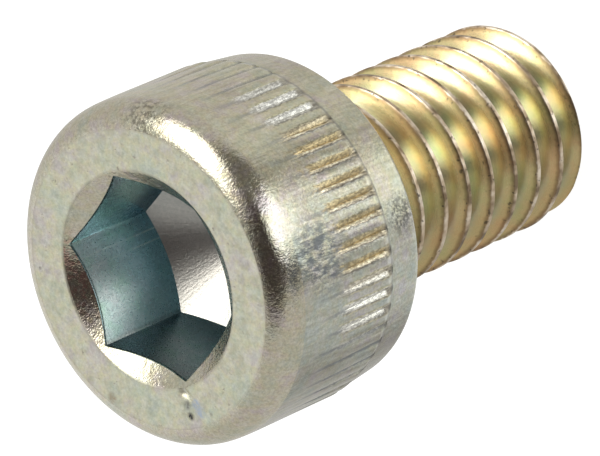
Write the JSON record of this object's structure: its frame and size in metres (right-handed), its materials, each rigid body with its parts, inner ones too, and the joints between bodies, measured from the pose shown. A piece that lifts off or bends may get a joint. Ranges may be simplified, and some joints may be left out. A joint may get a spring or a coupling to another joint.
{
  "type": "socket head cap screw",
  "caption": "Short metric machine screw: a knurled cylindrical head with a hexagonal driving socket, a smooth neck and a right-hand thread with a chamfered end, zinc plated.",
  "frame": {"origin": "centre of the flat bearing face under the head, on the screw's axis", "axes": "+Z along the screw's axis, out of the socket, so the thread points down; +X through one corner of the hexagonal socket"},
  "size_m": [0.0098, 0.0098, 0.0155],
  "materials": {
    "zinc_steel": "zinc plated steel: pale grey-beige and matte on the head, golden and glossier on the thread"
  },
  "bodies": {
    "root": {"cap_screw": "zinc_steel"}
  },
  "joints": []
}
